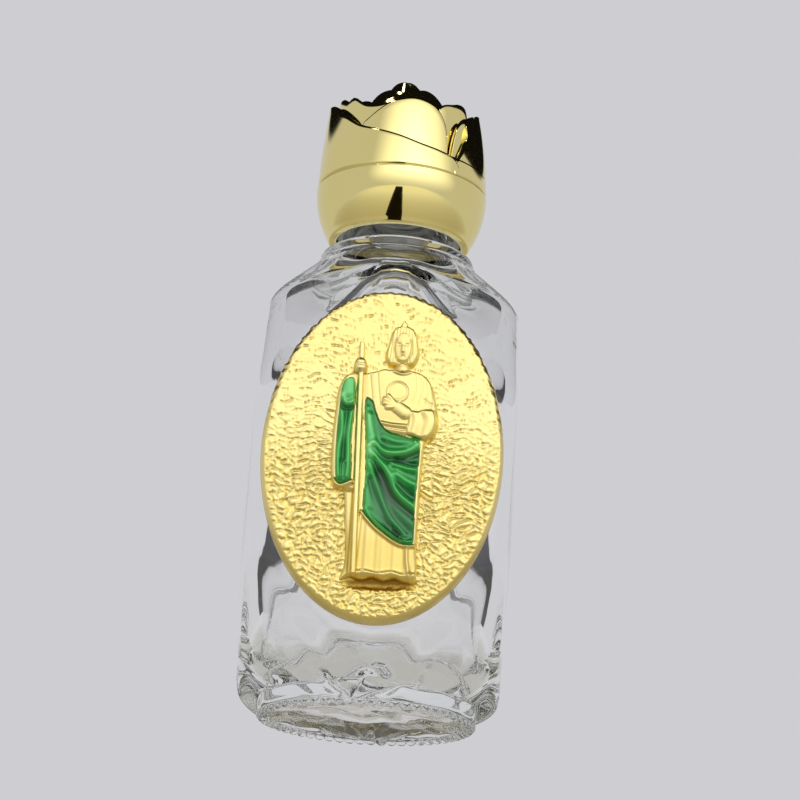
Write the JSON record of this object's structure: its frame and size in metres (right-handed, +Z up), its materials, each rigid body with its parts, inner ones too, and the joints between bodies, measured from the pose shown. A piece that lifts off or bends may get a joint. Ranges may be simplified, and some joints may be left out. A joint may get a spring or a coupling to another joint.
{
  "type": "holy water bottle",
  "caption": "Small faceted clear glass bottle with a gilt rose-shaped screw cap and an oval gilt medallion of a robed figure in green enamel.",
  "frame": {"origin": "on the bottle's axis, in the plane of the bead tips that it stands on", "axes": "+Z up along the bottle's axis, -Y towards the front, where the medallion is, +X to the right seen from the front"},
  "size_m": [0.03, 0.0348, 0.0798],
  "materials": {
    "clear_glass": "clear pressed soda-lime glass, fire polished",
    "plug_plastic": "natural low-density polyethylene",
    "insert_plastic": "natural polypropylene",
    "wad_foam": "expanded polyethylene foam",
    "bright_gilt": "bright pale gold plating on cast zinc alloy",
    "satin_gilt": "satin warm gold plating on cast zinc alloy",
    "green_enamel": "glossy translucent green epoxy enamel",
    "pad_foam": "double-sided acrylic foam pad"
  },
  "bodies": {
    "bottle": {"bottle": "clear_glass", "drip_plug": "plug_plastic", "medallion": "satin_gilt", "mantle_enamel": "green_enamel", "sleeve_enamel": "green_enamel", "adhesive_pad": "pad_foam"},
    "wad": {"sealing_wad": "wad_foam"},
    "cap": {"cap_insert": "insert_plastic", "cap_bowl": "bright_gilt", "rose_crown": "bright_gilt"}
  },
  "joints": [
    {"name": "cap_lift", "type": "slide", "parent": "bottle", "child": "wad", "axis": [0, 0, 1], "range_m": [0, 0.0105]},
    {"name": "cap_turn", "type": "hinge", "parent": "wad", "child": "cap", "pos_m": [0, 0, 0.0665], "axis": [0, 0, 1], "range_deg": [0, 1800]}
  ],
  "couplings": [
    {"joint": "cap_lift", "follows": "cap_turn", "m_per_rad": 0.00033422}
  ]
}
